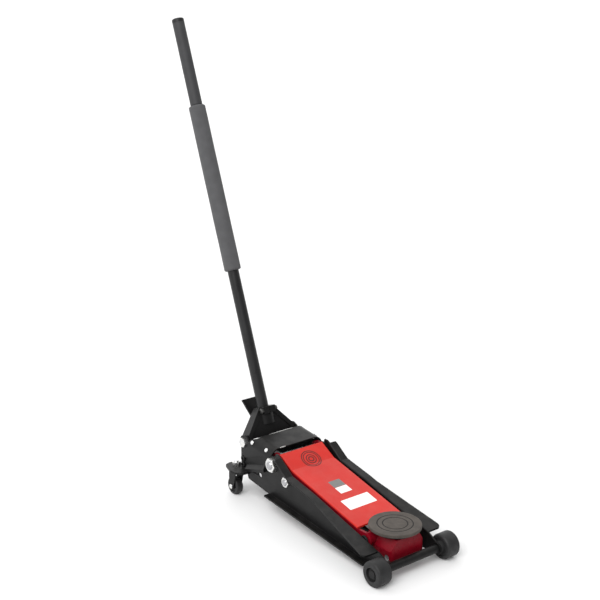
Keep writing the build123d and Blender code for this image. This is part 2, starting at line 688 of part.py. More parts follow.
# ---- Handle yoke: splayed legs on the pivot bolts, collar for the handle, roller bracket ----
LEG_Y = (60, 70)
COLLAR_U = (30, 74)
COLLAR_R = 22
SOCKET_U = 33
CLAMP = (-21, 65)
CLAMP_HALF = 18
with BuildPart() as handle_yoke:
    with BuildSketch(YOKE_FRONT.offset(-18)):
        for side in (1, -1):
            with BuildLine():
                Polyline(
                    (side * 14, 74), (side * 21, 74), (side * LEG_Y[1], 15), (side * LEG_Y[1], -18),
                    (side * LEG_Y[0], -18), (side * LEG_Y[0], 10), (side * 14, 62), close=True,
                )
            make_face()
    extrude(amount=36)
    with BuildSketch(YOKE_SIDE):
        Circle(17)
        with BuildLine():
            Polyline((-17, 0), (17, 0), (13, 74), (-13, 74), close=True)
        make_face()
    extrude(amount=80, both=True, mode=Mode.INTERSECT)
    with BuildSketch(HANDLE_BASE.offset(COLLAR_U[0])):
        Circle(COLLAR_R)
    extrude(amount=COLLAR_U[1] - COLLAR_U[0])
    with BuildSketch(YOKE_SIDE):
        with BuildLine():
            Polyline((12, 56), (24, 56), (24, 32), (29.5, 18), (16.5, 13), (12, 32), close=True)
        make_face()
        with Locations((ROLLER_V, ROLLER_U)):
            Circle(7)
    extrude(amount=17, both=True)
    with BuildSketch(YOKE_SIDE):
        with BuildLine():
            Polyline((0, 0), (40, 0), (40, 31.5), (0, 31.5), close=True)
        make_face()
    extrude(amount=11, both=True, mode=Mode.SUBTRACT)
    with BuildSketch(YOKE_SIDE):
        with BuildLine():
            Polyline((-28, 57), (-12, 57), (-12, 74), (-28, 74), close=True)
        make_face()
    extrude(amount=CLAMP_HALF, both=True)
    with BuildSketch(HANDLE_BASE.offset(COLLAR_U[0])):
        Circle(4 + RUN_FIT)
    extrude(amount=50, mode=Mode.SUBTRACT)
    with BuildSketch(HANDLE_BASE.offset(SOCKET_U)):
        Circle(TUBE_R + RUN_FIT)
    extrude(amount=50, mode=Mode.SUBTRACT)
    with BuildSketch(YOKE_SIDE):
        with BuildLine():
            Polyline((-32, 53), (-8, 53), (-8, 78), (-32, 78), close=True)
        make_face()
    extrude(amount=1, both=True, mode=Mode.SUBTRACT)
    with BuildSketch(YOKE_SIDE):
        Circle(LINK_SHAFT_R + RUN_FIT)
        with Locations((ROLLER_V, ROLLER_U), CLAMP):
            Circle(4)
    extrude(amount=80, both=True, mode=Mode.SUBTRACT)
keep(handle_yoke, "handle_yoke")

with BuildPart() as yoke_front_plate:
    with BuildSketch(YOKE_FRONT.offset(-13)):
        with BuildLine():
            Polyline((-60, 2.5), (60, 2.5), (60, 10), (14, 62), (-14, 62), (-60, 10), close=True)
        make_face()
    extrude(amount=4)
    with BuildSketch(HANDLE_BASE.offset(COLLAR_U[0])):
        Circle(COLLAR_R)
    extrude(amount=80, mode=Mode.SUBTRACT)
keep(yoke_front_plate, "yoke_front_plate")

yoke_axis = Plane(origin=YOKE_ORIGIN, x_dir=(1, 0, 0), z_dir=(0, -1, 0))
with BuildPart() as yoke_bolt:
    add(rod(yoke_axis.offset(LEG_Y[0] - 1), LINK_SHAFT_R, WEB_OUTER - LEG_Y[0] + 1, end_chamfer=0.8))
    add(hexagon(yoke_axis.offset(WEB_OUTER), 22, 8))
keep_group([yoke_bolt.part, other_side(yoke_bolt.part)], "yoke_pivot_bolts")

with BuildPart() as roller_pin:
    with BuildSketch(YOKE_SIDE):
        with Locations((ROLLER_V, ROLLER_U)):
            Circle(4)
    extrude(amount=18, both=True)
keep(roller_pin, "roller_pin")

with BuildPart() as pump_roller:
    with BuildSketch(YOKE_SIDE):
        with Locations((ROLLER_V, ROLLER_U)):
            Circle(ROLLER_R)
            Circle(4 + RUN_FIT, mode=Mode.SUBTRACT)
    extrude(amount=10, both=True)
keep(pump_roller, "pump_roller")

with BuildPart() as foot_pedal:
    with BuildSketch(YOKE_SIDE):
        with BuildLine():
            Polyline((24, 32), (24, 54), (39, 101), (44, 99.5), (29, 53), (29, 32), close=True)
        make_face()
    extrude(amount=40, both=True)
    with BuildSketch(YOKE_FRONT):
        with BuildLine():
            Polyline((-20, 30), (20, 30), (33, 104), (-33, 104), close=True)
        make_face()
    extrude(amount=60, mode=Mode.INTERSECT)
keep(foot_pedal, "foot_pedal")

clamp_axis = Plane(origin=YOKE_SIDE.from_local_coords((*CLAMP, 0)), x_dir=(1, 0, 0), z_dir=(0, -1, 0))
with BuildPart() as clamp_bolt:
    add(rod(clamp_axis.offset(-CLAMP_HALF - 8), 4, 2 * CLAMP_HALF + 8))
    add(hexagon(clamp_axis.offset(CLAMP_HALF), 13, 5))
clamp_far = Plane(origin=clamp_axis.offset(-CLAMP_HALF).origin, x_dir=(1, 0, 0), z_dir=(0, 1, 0))
clamp_nut = hexagon(clamp_far, 13, 6, bore=4)
keep_group([clamp_bolt.part, clamp_nut], "clamp_bolt")

# ---- Handle: two tubes joined by a spigot, foam sleeve, rubber grip and end cap ----
JOINT_U = 470
FOAM_U = (430, 861)
GRIP_U = (862, 1079)
TUBE_START = 34


def along_handle(start, end, radius, bore=0, end_chamfer=0):
    """A round piece on the handle's axis, between two distances from the yoke pivot."""
    return rod(HANDLE_BASE.offset(start), radius, end - start, bore=bore, end_chamfer=end_chamfer)


with BuildPart() as handle_lower_tube:
    add(along_handle(TUBE_START, JOINT_U, TUBE_R, bore=TUBE_BORE_R))
keep(handle_lower_tube, "handle_lower_tube")

with BuildPart() as handle_upper_tube:
    add(along_handle(JOINT_U, GRIP_U[1], TUBE_R, bore=TUBE_BORE_R - 1.6))
    add(along_handle(JOINT_U - 60, JOINT_U, TUBE_BORE_R, bore=TUBE_BORE_R - 1.6))
keep(handle_upper_tube, "handle_upper_tube")

with BuildPart() as foam_sleeve:
    add(along_handle(*FOAM_U, FOAM_R, bore=TUBE_R, end_chamfer=2))
keep(foam_sleeve, "foam_sleeve")

with BuildPart() as hand_grip:
    add(along_handle(*GRIP_U, GRIP_R, bore=TUBE_R))
keep(hand_grip, "hand_grip")

with BuildPart() as handle_end_cap:
    add(along_handle(GRIP_U[1], HANDLE_LENGTH, GRIP_R, end_chamfer=0))
    fillet(handle_end_cap.edges().group_by(Axis.Z)[-1], radius=3)
    add(along_handle(GRIP_U[1] - 20, GRIP_U[1], TUBE_BORE_R - 1.6))
keep(handle_end_cap, "handle_end_cap")

with BuildPart() as drive_shaft:
    add(along_handle(TUBE_START + 2, TUBE_START + 26, TUBE_BORE_R))
    add(along_handle(0, TUBE_START + 2, 4))
    with Locations(YOKE_ORIGIN):
        Sphere(6)
keep(drive_shaft, "drive_shaft")

# ---- Release valve spindle with the cup that the handle's ball turns ----
CUP_TOP = YOKE_Z - 3
with BuildPart() as release_spindle:
    add(rod(plan_plane(HEAD_TOP - 6, VALVE_CENTRE), 5, 12))
    add(rod(plan_plane(HEAD_TOP + 6, VALVE_CENTRE), 9.5, CUP_TOP - HEAD_TOP - 6, end_chamfer=0.6))
    with BuildSketch(plan_plane(CUP_TOP - 4, VALVE_CENTRE)):
        Circle(6.6)
    extrude(amount=10, mode=Mode.SUBTRACT)
keep(release_spindle, "release_spindle")

# ---- Pump plunger with its cap and spring ----
ROLLER_CENTRE = YOKE_SIDE.from_local_coords((ROLLER_V, ROLLER_U, 0))
CAP_TOP = ROLLER_CENTRE.Z - ROLLER_R - ROLLER_GAP
PLUNGER_FOOT = 91
with BuildPart() as pump_plunger:
    add(rod(plan_plane(PLUNGER_FOOT, PUMP_CENTRE), PLUNGER_R, CAP_TOP - 6 - PLUNGER_FOOT))
    add(rod(plan_plane(CAP_TOP - 6, PUMP_CENTRE), 14, 6, end_chamfer=0.8))
keep(pump_plunger, "pump_plunger")

with BuildPart() as plunger_spring:
    add(rod(plan_plane(RESERVOIR_TOP, PUMP_CENTRE), 13.8, CAP_TOP - 6 - RESERVOIR_TOP, bore=11.6))
keep(plunger_spring, "plunger_spring")

# ---- Casters: welded corner plates, king pins, bearing rings, forks, axles and wheels ----
CASTER_PLATE_TOP = CASTER_PLATE_Z + 6
# Sloping rib from the plate's front up to the lift pivot's nut
RIB_START = place(-526, 94)
RIB_ANGLE = radians(18)
RIB_DIR = (cos(RIB_ANGLE), 0, sin(RIB_ANGLE))
RIB_LENGTH = 82
FORK_TOP = 69
KING_R = 6
FORK_HALF = 13
FORK_GAP_HALF = 10.2
CASTER_WHEEL_HALF = 9.5
RECESS = 3.5
CASTER_CENTRE = (FRONT_AXLE_X + CASTER_X, -CASTER_Y)
CASTER_AXLE = place(CASTER_X - CASTER_TRAIL, CASTER_R)
with BuildPart() as caster_plate_right:
    with BuildSketch(Plane.XY.offset(CASTER_PLATE_Z)) as plate_plan:
        with BuildLine():
            Polyline(
                *places([
                    (-511, -WEB_OUTER), (-514, -101), (-528, -113), (-547, -116), (-584, -104),
                    (-589, -90), (-587, -66), (WEB_REAR - 0.3, -66), (WEB_REAR - 0.3, -WEB_OUTER),
                ]),
                close=True,
            )
        make_face()
        fillet(plate_plan.vertices().filter_by_position(Axis.Y, -114, -100), radius=5)
        with Locations(CASTER_CENTRE):
            Circle(KING_R, mode=Mode.SUBTRACT)
    extrude(amount=CASTER_PLATE_TOP - CASTER_PLATE_Z)
    rib_start = (RIB_START[0], -WEB_OUTER, RIB_START[1])
    with BuildSketch(Plane(origin=rib_start, x_dir=(0, -1, 0), z_dir=RIB_DIR)):
        with BuildLine():
            Polyline((0, 0), (9, 10), (9, 17), (0, 17), close=True)
        make_face()
    extrude(amount=RIB_LENGTH)
keep(caster_plate_right, "caster_plate_right")

with BuildPart() as caster_plate_left:
    add(other_side(caster_plate_right.part))
keep(caster_plate_left, "caster_plate_left")

# The pin's head turns clear inside the fork's gap
KING_HEAD = 16
with BuildPart() as king_pin:
    add(hexagon(plan_plane(60, CASTER_CENTRE), KING_HEAD, 5.6))
    add(rod(plan_plane(65.6, CASTER_CENTRE), KING_R, 27, end_chamfer=0.8))
king_nut = hexagon(plan_plane(CASTER_PLATE_TOP, CASTER_CENTRE), 19, 10, bore=KING_R)
keep_group([king_pin.part, king_nut, other_side(king_pin.part), other_side(king_nut)], "caster_king_pins")

RING_Z = FORK_TOP + 0.4
bearing_ring = rod(plan_plane(RING_Z, CASTER_CENTRE), 19.5, CASTER_PLATE_Z - RING_Z, bore=10)
keep_group([bearing_ring, other_side(bearing_ring)], "caster_bearing_rings")

with BuildPart() as caster_fork_right:
    with BuildSketch(side_plane(FORK_HALF - CASTER_Y)):
        with BuildLine():
            Polyline(
                *places([
                    (CASTER_X - 14, FORK_TOP), (CASTER_X + 13, FORK_TOP), (CASTER_X + 11, 50),
                    (CASTER_X - CASTER_TRAIL + 9, CASTER_R), (CASTER_X - CASTER_TRAIL - 9, CASTER_R),
                    (CASTER_X - 15, 50),
                ]),
                close=True,
            )
        make_face()
        with Locations(CASTER_AXLE):
            Circle(9)
    extrude(amount=2 * FORK_HALF)
    with BuildSketch(side_plane(FORK_GAP_HALF - CASTER_Y)):
        with BuildLine():
            Polyline(
                *places([(CASTER_X - 60, FORK_TOP - 3), (CASTER_X + 60, FORK_TOP - 3),
                         (CASTER_X + 60, 0), (CASTER_X - 60, 0)]),
                close=True,
            )
        make_face()
    extrude(amount=2 * FORK_GAP_HALF, mode=Mode.SUBTRACT)
    with BuildSketch(plan_plane(FORK_TOP - 3, CASTER_CENTRE)):
        Circle(19)
    extrude(amount=3)
    with BuildSketch(plan_plane(FORK_TOP - 3, CASTER_CENTRE)):
        Circle(KING_R + RUN_FIT)
    extrude(amount=3, mode=Mode.SUBTRACT)
    with BuildSketch(side_plane(20 - CASTER_Y, CASTER_AXLE)):
        Circle(4)
    extrude(amount=40, mode=Mode.SUBTRACT)
keep(caster_fork_right, "caster_fork_right")

with BuildPart() as caster_axle_right:
    add(rod(side_plane(FORK_HALF - CASTER_Y, CASTER_AXLE), 4, 2 * FORK_HALF))
    add(rod(side_plane(FORK_HALF + 3 - CASTER_Y, CASTER_AXLE), 6, 3, end_chamfer=0.8))
    add(rod(side_plane(-FORK_HALF - CASTER_Y, CASTER_AXLE), 6, 3, end_chamfer=0.8))
keep(caster_axle_right, "caster_axle_right")

with BuildPart() as caster_wheel_right:
    with BuildSketch(side_plane(CASTER_WHEEL_HALF - CASTER_Y, CASTER_AXLE)):
        Circle(CASTER_R)
    extrude(amount=2 * CASTER_WHEEL_HALF)
    fillet(caster_wheel_right.edges().filter_by(GeomType.CIRCLE), radius=3.5)
    for recess_y in (CASTER_WHEEL_HALF, RECESS - CASTER_WHEEL_HALF):
        with BuildSketch(side_plane(recess_y - CASTER_Y, CASTER_AXLE)):
            Circle(16)
            Circle(8, mode=Mode.SUBTRACT)
        extrude(amount=RECESS, mode=Mode.SUBTRACT)
    with BuildSketch(side_plane(CASTER_WHEEL_HALF - CASTER_Y, CASTER_AXLE)):
        Circle(4 + RUN_FIT)
    extrude(amount=2 * CASTER_WHEEL_HALF, mode=Mode.SUBTRACT)
keep(caster_wheel_right, "caster_wheel_right")

for piece, name in (
    (caster_fork_right, "caster_fork_left"),
    (caster_axle_right, "caster_axle_left"),
    (caster_wheel_right, "caster_wheel_left"),
):
    with BuildPart() as left_piece:
        add(other_side(piece.part))
    keep(left_piece, name)
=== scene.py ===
import json
import math
import random

import bmesh
import bpy
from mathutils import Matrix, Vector


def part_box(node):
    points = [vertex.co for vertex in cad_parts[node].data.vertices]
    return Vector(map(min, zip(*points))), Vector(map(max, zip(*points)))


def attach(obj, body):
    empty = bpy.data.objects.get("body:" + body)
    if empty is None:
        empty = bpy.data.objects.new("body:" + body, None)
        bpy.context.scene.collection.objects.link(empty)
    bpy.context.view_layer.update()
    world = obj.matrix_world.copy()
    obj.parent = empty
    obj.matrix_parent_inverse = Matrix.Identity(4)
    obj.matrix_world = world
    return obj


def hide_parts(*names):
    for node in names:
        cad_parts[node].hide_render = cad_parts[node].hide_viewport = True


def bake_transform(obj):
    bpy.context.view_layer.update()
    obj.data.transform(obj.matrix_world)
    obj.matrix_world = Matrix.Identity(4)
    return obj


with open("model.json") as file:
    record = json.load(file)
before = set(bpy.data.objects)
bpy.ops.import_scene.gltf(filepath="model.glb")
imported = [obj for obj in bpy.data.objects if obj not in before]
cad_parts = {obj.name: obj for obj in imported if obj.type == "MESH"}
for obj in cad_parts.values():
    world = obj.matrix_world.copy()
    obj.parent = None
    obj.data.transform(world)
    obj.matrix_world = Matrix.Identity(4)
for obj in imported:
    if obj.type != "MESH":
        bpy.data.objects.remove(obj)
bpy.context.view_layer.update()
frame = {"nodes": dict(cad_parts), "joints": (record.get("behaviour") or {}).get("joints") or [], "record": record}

random.seed(11)

# ---- Places worked out from the frame, in metres ----
NODES = frame["nodes"]
JOINTS = {joint["name"]: joint for joint in frame["joints"]}


def middle(name):
    """The centre of a CAD node's box."""
    low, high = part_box(name)
    return (Vector(low) + Vector(high)) / 2


def joint_place(name):
    """A joint's centre."""
    return Vector(JOINTS[name]["pos_m"])


YOKE = joint_place("handle_pump")
UP_HANDLE = Vector(JOINTS["handle_twist"]["axis"]).normalized()
AXLE = middle("front_axle")
MM = 0.001


# ---- Node materials ----
class Paint:
    """A node material with its Principled shader, built up one layer at a time."""

    def __init__(self, name, roughness, metallic=0.0, coat=0.0, specular=0.5, sheen=0.0):
        self.material = bpy.data.materials.new(name)
        self.material.use_nodes = True
        self.tree = self.material.node_tree
        self.shader = self.tree.nodes["Principled BSDF"]
        self.shader.inputs["Roughness"].default_value = roughness
        self.shader.inputs["Metallic"].default_value = metallic
        self.shader.inputs["Coat Weight"].default_value = coat
        self.shader.inputs["Coat Roughness"].default_value = 0.12
        self.shader.inputs["Specular IOR Level"].default_value = specular
        self.shader.inputs["Sheen Weight"].default_value = sheen
        self.coords = self.tree.nodes.new("ShaderNodeTexCoord").outputs["Object"]
        self.normal = None
        self.colour = None

    def link(self, start, end):
        self.tree.links.new(start, end)

    def stretched(self, scale):
        """The object's coordinates, stretched along each axis."""
        mapping = self.tree.nodes.new("ShaderNodeMapping")
        mapping.inputs["Scale"].default_value = scale
        self.link(self.coords, mapping.inputs["Vector"])
        return mapping.outputs["Vector"]

    def noise(self, size, detail=4.0, stretch=(1, 1, 1)):
        """Cloudy noise whose patches are about size metres across."""
        made = self.tree.nodes.new("ShaderNodeTexNoise")
        made.inputs["Scale"].default_value = 1 / size
        made.inputs["Detail"].default_value = detail
        self.link(self.stretched(stretch), made.inputs["Vector"])
        return made.outputs["Fac"]

    def cells(self, size, feature="F1"):
        """Voronoi cells about size metres across."""
        made = self.tree.nodes.new("ShaderNodeTexVoronoi")
        made.feature = feature
        made.inputs["Scale"].default_value = 1 / size
        self.link(self.stretched((1, 1, 1)), made.inputs["Vector"])
        return made.outputs["Distance"]

    def ramp(self, value, stops):
        """A colour ramp over a value; stops are (position, colour)."""
        made = self.tree.nodes.new("ShaderNodeValToRGB")
        elements = made.color_ramp.elements
        while len(elements) < len(stops):
            elements.new(0.5)
        for element, (position, colour) in zip(elements, stops):
            element.position = position
            element.color = (*colour, 1)
        self.link(value, made.inputs["Fac"])
        return made.outputs["Color"]

    def spread(self, value, low, high, start=0.3, end=0.7):
        """Maps a noise value between two numbers."""
        made = self.tree.nodes.new("ShaderNodeMapRange")
        made.inputs["From Min"].default_value = start
        made.inputs["From Max"].default_value = end
        made.inputs["To Min"].default_value = low
        made.inputs["To Max"].default_value = high
        self.link(value, made.inputs["Value"])
        return made.outputs["Result"]

    def maths(self, operation, first, second):
        """A maths node over two values, either of which may be a number."""
        made = self.tree.nodes.new("ShaderNodeMath")
        made.operation = operation
        for socket, value in zip(made.inputs, (first, second)):
            if isinstance(value, (int, float)):
                socket.default_value = value
            else:
                self.link(value, socket)
        return made.outputs[0]

    def mix(self, factor, first, second):
        """Two colours mixed by a factor; either may be a plain colour."""
        made = self.tree.nodes.new("ShaderNodeMix")
        made.data_type = "RGBA"
        self.link(factor, made.inputs["Factor"])
        for socket, value in ((made.inputs[6], first), (made.inputs[7], second)):
            if isinstance(value, tuple):
                socket.default_value = (*value, 1)
            else:
                self.link(value, socket)
        return made.outputs[2]

    def tint(self, colour, vary, size):
        """A base colour that drifts a little, in soft patches of a size."""
        dark = tuple(channel * (1 - vary) for channel in colour)
        light = tuple(min(1.0, channel * (1 + vary)) for channel in colour)
        self.colour = self.ramp(self.noise(size), [(0.3, dark), (0.7, light)])
        return self

    def gloss(self, low, high, size, stretch=(1, 1, 1)):
        """Roughness that drifts between two values."""
        self.link(self.spread(self.noise(size, 6.0, stretch), low, high), self.shader.inputs["Roughness"])
        return self

    def round_edges(self, radius):
        """Softens the shading of hard edges by a small radius."""
        made = self.tree.nodes.new("ShaderNodeBevel")
        made.samples = 4
        made.inputs["Radius"].default_value = radius
        self.normal = made.outputs["Normal"]
        return self

    def edge_wear_and_highlight(self, colour, strength, size=0.004):
        """Rubbed paint on sharp edges, broken up by noise; the lightened edges also serve as painted edge
        highlights.
        """
        flat = self.tree.nodes.new("ShaderNodeNewGeometry").outputs["Normal"]
        dot = self.tree.nodes.new("ShaderNodeVectorMath")
        dot.operation = "DOT_PRODUCT"
        self.link(self.normal, dot.inputs[0])
        self.link(flat, dot.inputs[1])
        edge = self.spread(dot.outputs["Value"], 1.0, 0.0, 0.75, 0.97)
        wear_and_highlight_patches = self.spread(self.noise(size, 5.0), 0.0, strength, 0.5, 0.66)
        # Lightens the edges' colour: partly rubbed paint, partly painted highlight
        self.colour = self.mix(self.maths("MULTIPLY", edge, wear_and_highlight_patches), self.colour, colour)
        return self

    def dust(self, colour, strength, size):
        """A thin film of dust that lies on surfaces facing up."""
        up = self.tree.nodes.new("ShaderNodeSeparateXYZ")
        self.link(self.tree.nodes.new("ShaderNodeNewGeometry").outputs["Normal"], up.inputs["Vector"])
        facing = self.spread(up.outputs["Z"], 0.0, 1.0, 0.3, 1.0)
        patch = self.spread(self.noise(size, 8.0), 0.0, strength, 0.4, 0.75)
        self.colour = self.mix(self.maths("MULTIPLY", facing, patch), self.colour, colour)
        return self

    def bump(self, height, depth, strength=1.0):
        """Adds relief of a depth in metres."""
        made = self.tree.nodes.new("ShaderNodeBump")
        made.inputs["Strength"].default_value = strength
        made.inputs["Distance"].default_value = depth
        self.link(height, made.inputs["Height"])
        if self.normal is not None:
            self.link(self.normal, made.inputs["Normal"])
        self.normal = made.outputs["Normal"]
        return self

    def done(self):
        """Connects the layers and gives the material."""
        if self.colour is not None:
            self.link(self.colour, self.shader.inputs["Base Color"])
        if self.normal is not None:
            self.link(self.normal, self.shader.inputs["Normal"])
        return self.material


def powder_black():
    """Satin black powder coat: orange peel, a little dust, edges lightened by rubbing and by painted highlight."""
    paint = Paint("powder_black", 0.4, specular=0.2)
    paint.tint((0.0052, 0.0051, 0.0052), 0.2, 0.05).gloss(0.32, 0.46, 0.03)
    paint.round_edges(0.9 * MM).edge_wear_and_highlight((0.12, 0.12, 0.12), 0.5)
    paint.dust((0.12, 0.11, 0.1), 0.1, 0.02)
    paint.bump(paint.noise(2.2 * MM, 3.0), 0.06 * MM, 0.55)
    return paint.bump(paint.noise(0.5 * MM, 2.0), 0.012 * MM, 0.5).done()


def tube_black():
    """Smooth black enamel on the drawn handle tube."""
    paint = Paint("tube_black", 0.32, specular=0.3, coat=0.08)
    paint.tint((0.012, 0.012, 0.0125), 0.15, 0.04).gloss(0.24, 0.4, 0.02, (1, 1, 0.15))
    return paint.bump(paint.noise(1.6 * MM, 3.0), 0.03 * MM, 0.4).done()


def red_paint():
    """Gloss red powder coat with a shallow orange peel."""
    paint = Paint("red_paint", 0.34, specular=0.26, coat=0.05)
    paint.tint((0.53, 0.019, 0.012), 0.06, 0.08).gloss(0.28, 0.4, 0.04)
    paint.round_edges(0.8 * MM).edge_wear_and_highlight((0.7, 0.2, 0.15), 0.4)
    paint.dust((0.6, 0.2, 0.16), 0.1, 0.03)
    return paint.bump(paint.noise(2.6 * MM, 3.0), 0.06 * MM, 0.5).done()


def cast_red():
    """Red paint over a sand-cast surface, wetter than the plate's, its colour darkened as painted shade."""
    paint = Paint("cast_red", 0.3, specular=0.12)
    # The plate's red darkened to stand in for the shade on the parts at the arm's front
    paint.tint((0.17, 0.0025, 0.009), 0.15, 0.03).gloss(0.24, 0.4, 0.02)
    paint.round_edges(1.2 * MM).edge_wear_and_highlight((0.36, 0.05, 0.05), 0.35)
    paint.bump(paint.noise(5 * MM, 6.0), 0.35 * MM, 0.6)
    return paint.bump(paint.noise(0.8 * MM, 3.0), 0.04 * MM, 0.6).done()


def cast_black():
    """Black paint over a sand-cast or forged surface."""
    paint = Paint("cast_black", 0.45, specular=0.2)
    paint.tint((0.0095, 0.0095, 0.0098), 0.25, 0.02).gloss(0.34, 0.55, 0.015)
    paint.round_edges(1.2 * MM).edge_wear_and_highlight((0.12, 0.115, 0.11), 0.45)
    paint.bump(paint.noise(4 * MM, 6.0), 0.3 * MM, 0.7)
    return paint.bump(paint.cells(1.1 * MM), 0.05 * MM, 0.5).done()


def zinc():
    """Bright zinc plate, faintly mottled and a little cloudy."""
    paint = Paint("zinc", 0.3, metallic=1.0)
    paint.colour = paint.ramp(paint.noise(6 * MM, 5.0), [
        (0.3, (0.62, 0.63, 0.66)), (0.5, (0.78, 0.78, 0.77)), (0.72, (0.86, 0.84, 0.78))])
    paint.gloss(0.2, 0.42, 3 * MM).round_edges(0.5 * MM)
    return paint.bump(paint.noise(0.7 * MM, 3.0), 0.02 * MM, 0.5).done()


def turned_steel():
    """Bare turned steel: fine rings of tool marks around the Y axis, thin oil film."""
    paint = Paint("turned_steel", 0.3, metallic=1.0)
    paint.tint((0.42, 0.42, 0.43), 0.15, 0.015).gloss(0.2, 0.42, 4 * MM)
    paint.round_edges(0.5 * MM)
    return paint.bump(paint.noise(3 * MM, 2.0, (0.05, 8, 0.05)), 0.03 * MM, 0.5).done()


def oiled_steel():
    """Dark drawn spring wire and black oxide with a film of oil."""
    paint = Paint("oiled_steel", 0.36, metallic=1.0, coat=0.2)
    paint.tint((0.11, 0.108, 0.105), 0.25, 6 * MM).gloss(0.24, 0.5, 3 * MM)
    return paint.bump(paint.noise(0.6 * MM, 3.0), 0.02 * MM, 0.5).done()


def chrome():
    """Hard chrome on the ram, with hair-thin wiper marks along its travel."""
    paint = Paint("chrome", 0.08, metallic=1.0)
    paint.tint((0.72, 0.73, 0.75), 0.04, 0.02).gloss(0.05, 0.16, 2 * MM, (0.05, 1, 1))
    return paint.bump(paint.noise(1.5 * MM, 2.0, (0.04, 1, 1)), 0.004 * MM, 0.5).done()


def pad_rubber():
    """Moulded grey-brown rubber with a chalky bloom and a matt grain."""
    paint = Paint("pad_rubber", 0.74, specular=0.2, sheen=0.05)
    paint.tint((0.062, 0.053, 0.046), 0.18, 0.02).gloss(0.62, 0.82, 0.012)
    paint.round_edges(0.8 * MM)
    paint.dust((0.13, 0.115, 0.1), 0.35, 0.012)
    paint.bump(paint.noise(3 * MM, 5.0), 0.12 * MM, 0.5)
    return paint.bump(paint.cells(0.7 * MM), 0.05 * MM, 0.7).done()


def foam():
    """Closed-cell foam sleeve: soft grey skin with fine cells and faint creases."""
    paint = Paint("foam", 0.82, specular=0.2, sheen=0.1)
    paint.tint((0.078, 0.078, 0.081), 0.1, 0.02).gloss(0.74, 0.9, 0.01)
    paint.bump(paint.noise(9 * MM, 3.0, (1, 1, 0.35)), 0.4 * MM, 0.5)
    paint.bump(paint.cells(1.0 * MM), 0.12 * MM, 0.8)
    return paint.bump(paint.noise(0.35 * MM, 3.0), 0.05 * MM, 0.6).done()


def grip_rubber():
    """Dark grey grip sleeve with a fine leather-like grain."""
    paint = Paint("grip_rubber", 0.58, specular=0.25, sheen=0.04)
    paint.tint((0.04, 0.04, 0.042), 0.12, 0.02).gloss(0.46, 0.62, 0.01)
    paint.bump(paint.cells(1.3 * MM, "DISTANCE_TO_EDGE"), 0.1 * MM, 0.6)
    return paint.bump(paint.noise(0.4 * MM, 3.0), 0.03 * MM, 0.6).done()


def wheel_nylon():
    """Moulded dark nylon, scuffed on the tread, its edges lightened partly as painted highlight."""
    paint = Paint("wheel_nylon", 0.52, specular=0.26)
    paint.tint((0.018, 0.018, 0.0185), 0.18, 0.015).gloss(0.38, 0.6, 0.01)
    paint.round_edges(0.8 * MM).edge_wear_and_highlight((0.08, 0.08, 0.08), 0.6, 3 * MM)
    paint.dust((0.09, 0.087, 0.083), 0.14, 0.01)
    paint.bump(paint.noise(4 * MM, 4.0), 0.1 * MM, 0.5)
    return paint.bump(paint.noise(0.5 * MM, 3.0), 0.03 * MM, 0.6).done()


def cap_plastic():
    """Plain moulded plastic."""
    paint = Paint("cap_plastic", 0.42, specular=0.3)
    paint.tint((0.016, 0.016, 0.0165), 0.12, 0.01).gloss(0.34, 0.5, 0.008)
    return paint.bump(paint.noise(0.9 * MM, 3.0), 0.04 * MM, 0.5).done()


def print_ink(name, colour, roughness=0.35):
    """A thin even film, printed or settled, with a faint grain."""
    paint = Paint(name, roughness, specular=0.3, coat=0.05)
    paint.tint(colour, 0.05, 6 * MM)
    return paint.bump(paint.noise(1.2 * MM, 3.0), 0.01 * MM, 0.4).done()


def weld_metal():
    """Painted weld bead: satin black over ripples."""
    paint = Paint("weld_black", 0.38, specular=0.3)
    paint.tint((0.012, 0.012, 0.0125), 0.2, 8 * MM).gloss(0.3, 0.5, 4 * MM)
    return paint.bump(paint.noise(1.2 * MM, 4.0), 0.08 * MM, 0.6).done()


MATERIALS = {
    "black_paint": powder_black(),
    "red_paint": red_paint(),
    "zinc": zinc(),
    "steel": turned_steel(),
    "chrome_rod": chrome(),
    # cast_red is the red paint with painted shade
    "cast_red": cast_red(),
    "cast_black": cast_black(),
    "spring_steel": oiled_steel(),
    "pad_rubber": pad_rubber(),
    "grip_rubber": grip_rubber(),
    "foam": foam(),
    "wheel_plastic": wheel_nylon(),
    "cap_plastic": cap_plastic(),
}
TUBE_BLACK = tube_black()
WELD = weld_metal()

# ---- Every CAD node takes its material slot's finish ----
for entry in frame["record"]["subparts"]:
    finish = MATERIALS[entry["material_slot"]]
    if entry["node"].startswith("handle_") and entry["node"].endswith("_tube"):
        finish = TUBE_BLACK
    data = NODES[entry["node"]].data
    data.materials.clear()
    data.materials.append(finish)


# ---- Mesh helpers ----
def new_piece(name, mesh, material, body):
    """A mesh object that rides a body and takes a slot's finish."""
    piece = bpy.data.objects.new(name, mesh)
    bpy.context.collection.objects.link(piece)
    mesh.materials.clear()
    mesh.materials.append(material)
    if body:
        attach(piece, body)
    return piece


def mesh_from(name, points, faces, smooth=True):
    """A mesh from points and faces, with its normals facing out."""
    mesh = bpy.data.meshes.new(name)
    mesh.from_pydata([tuple(point) for point in points], [], faces)
    shape = bmesh.new()
    shape.from_mesh(mesh)
    bmesh.ops.remove_doubles(shape, verts=shape.verts, dist=1e-7)
    bmesh.ops.recalc_face_normals(shape, faces=shape.faces)
    shape.to_mesh(mesh)
    shape.free()
    mesh.polygons.foreach_set("use_smooth", [smooth] * len(mesh.polygons))
    return mesh


def side_of(direction):
    """A unit vector square to a direction."""
    other = Vector((0, 0, 1)) if abs(direction.z) < 0.9 else Vector((0, 1, 0))
    return direction.cross(other).normalized()


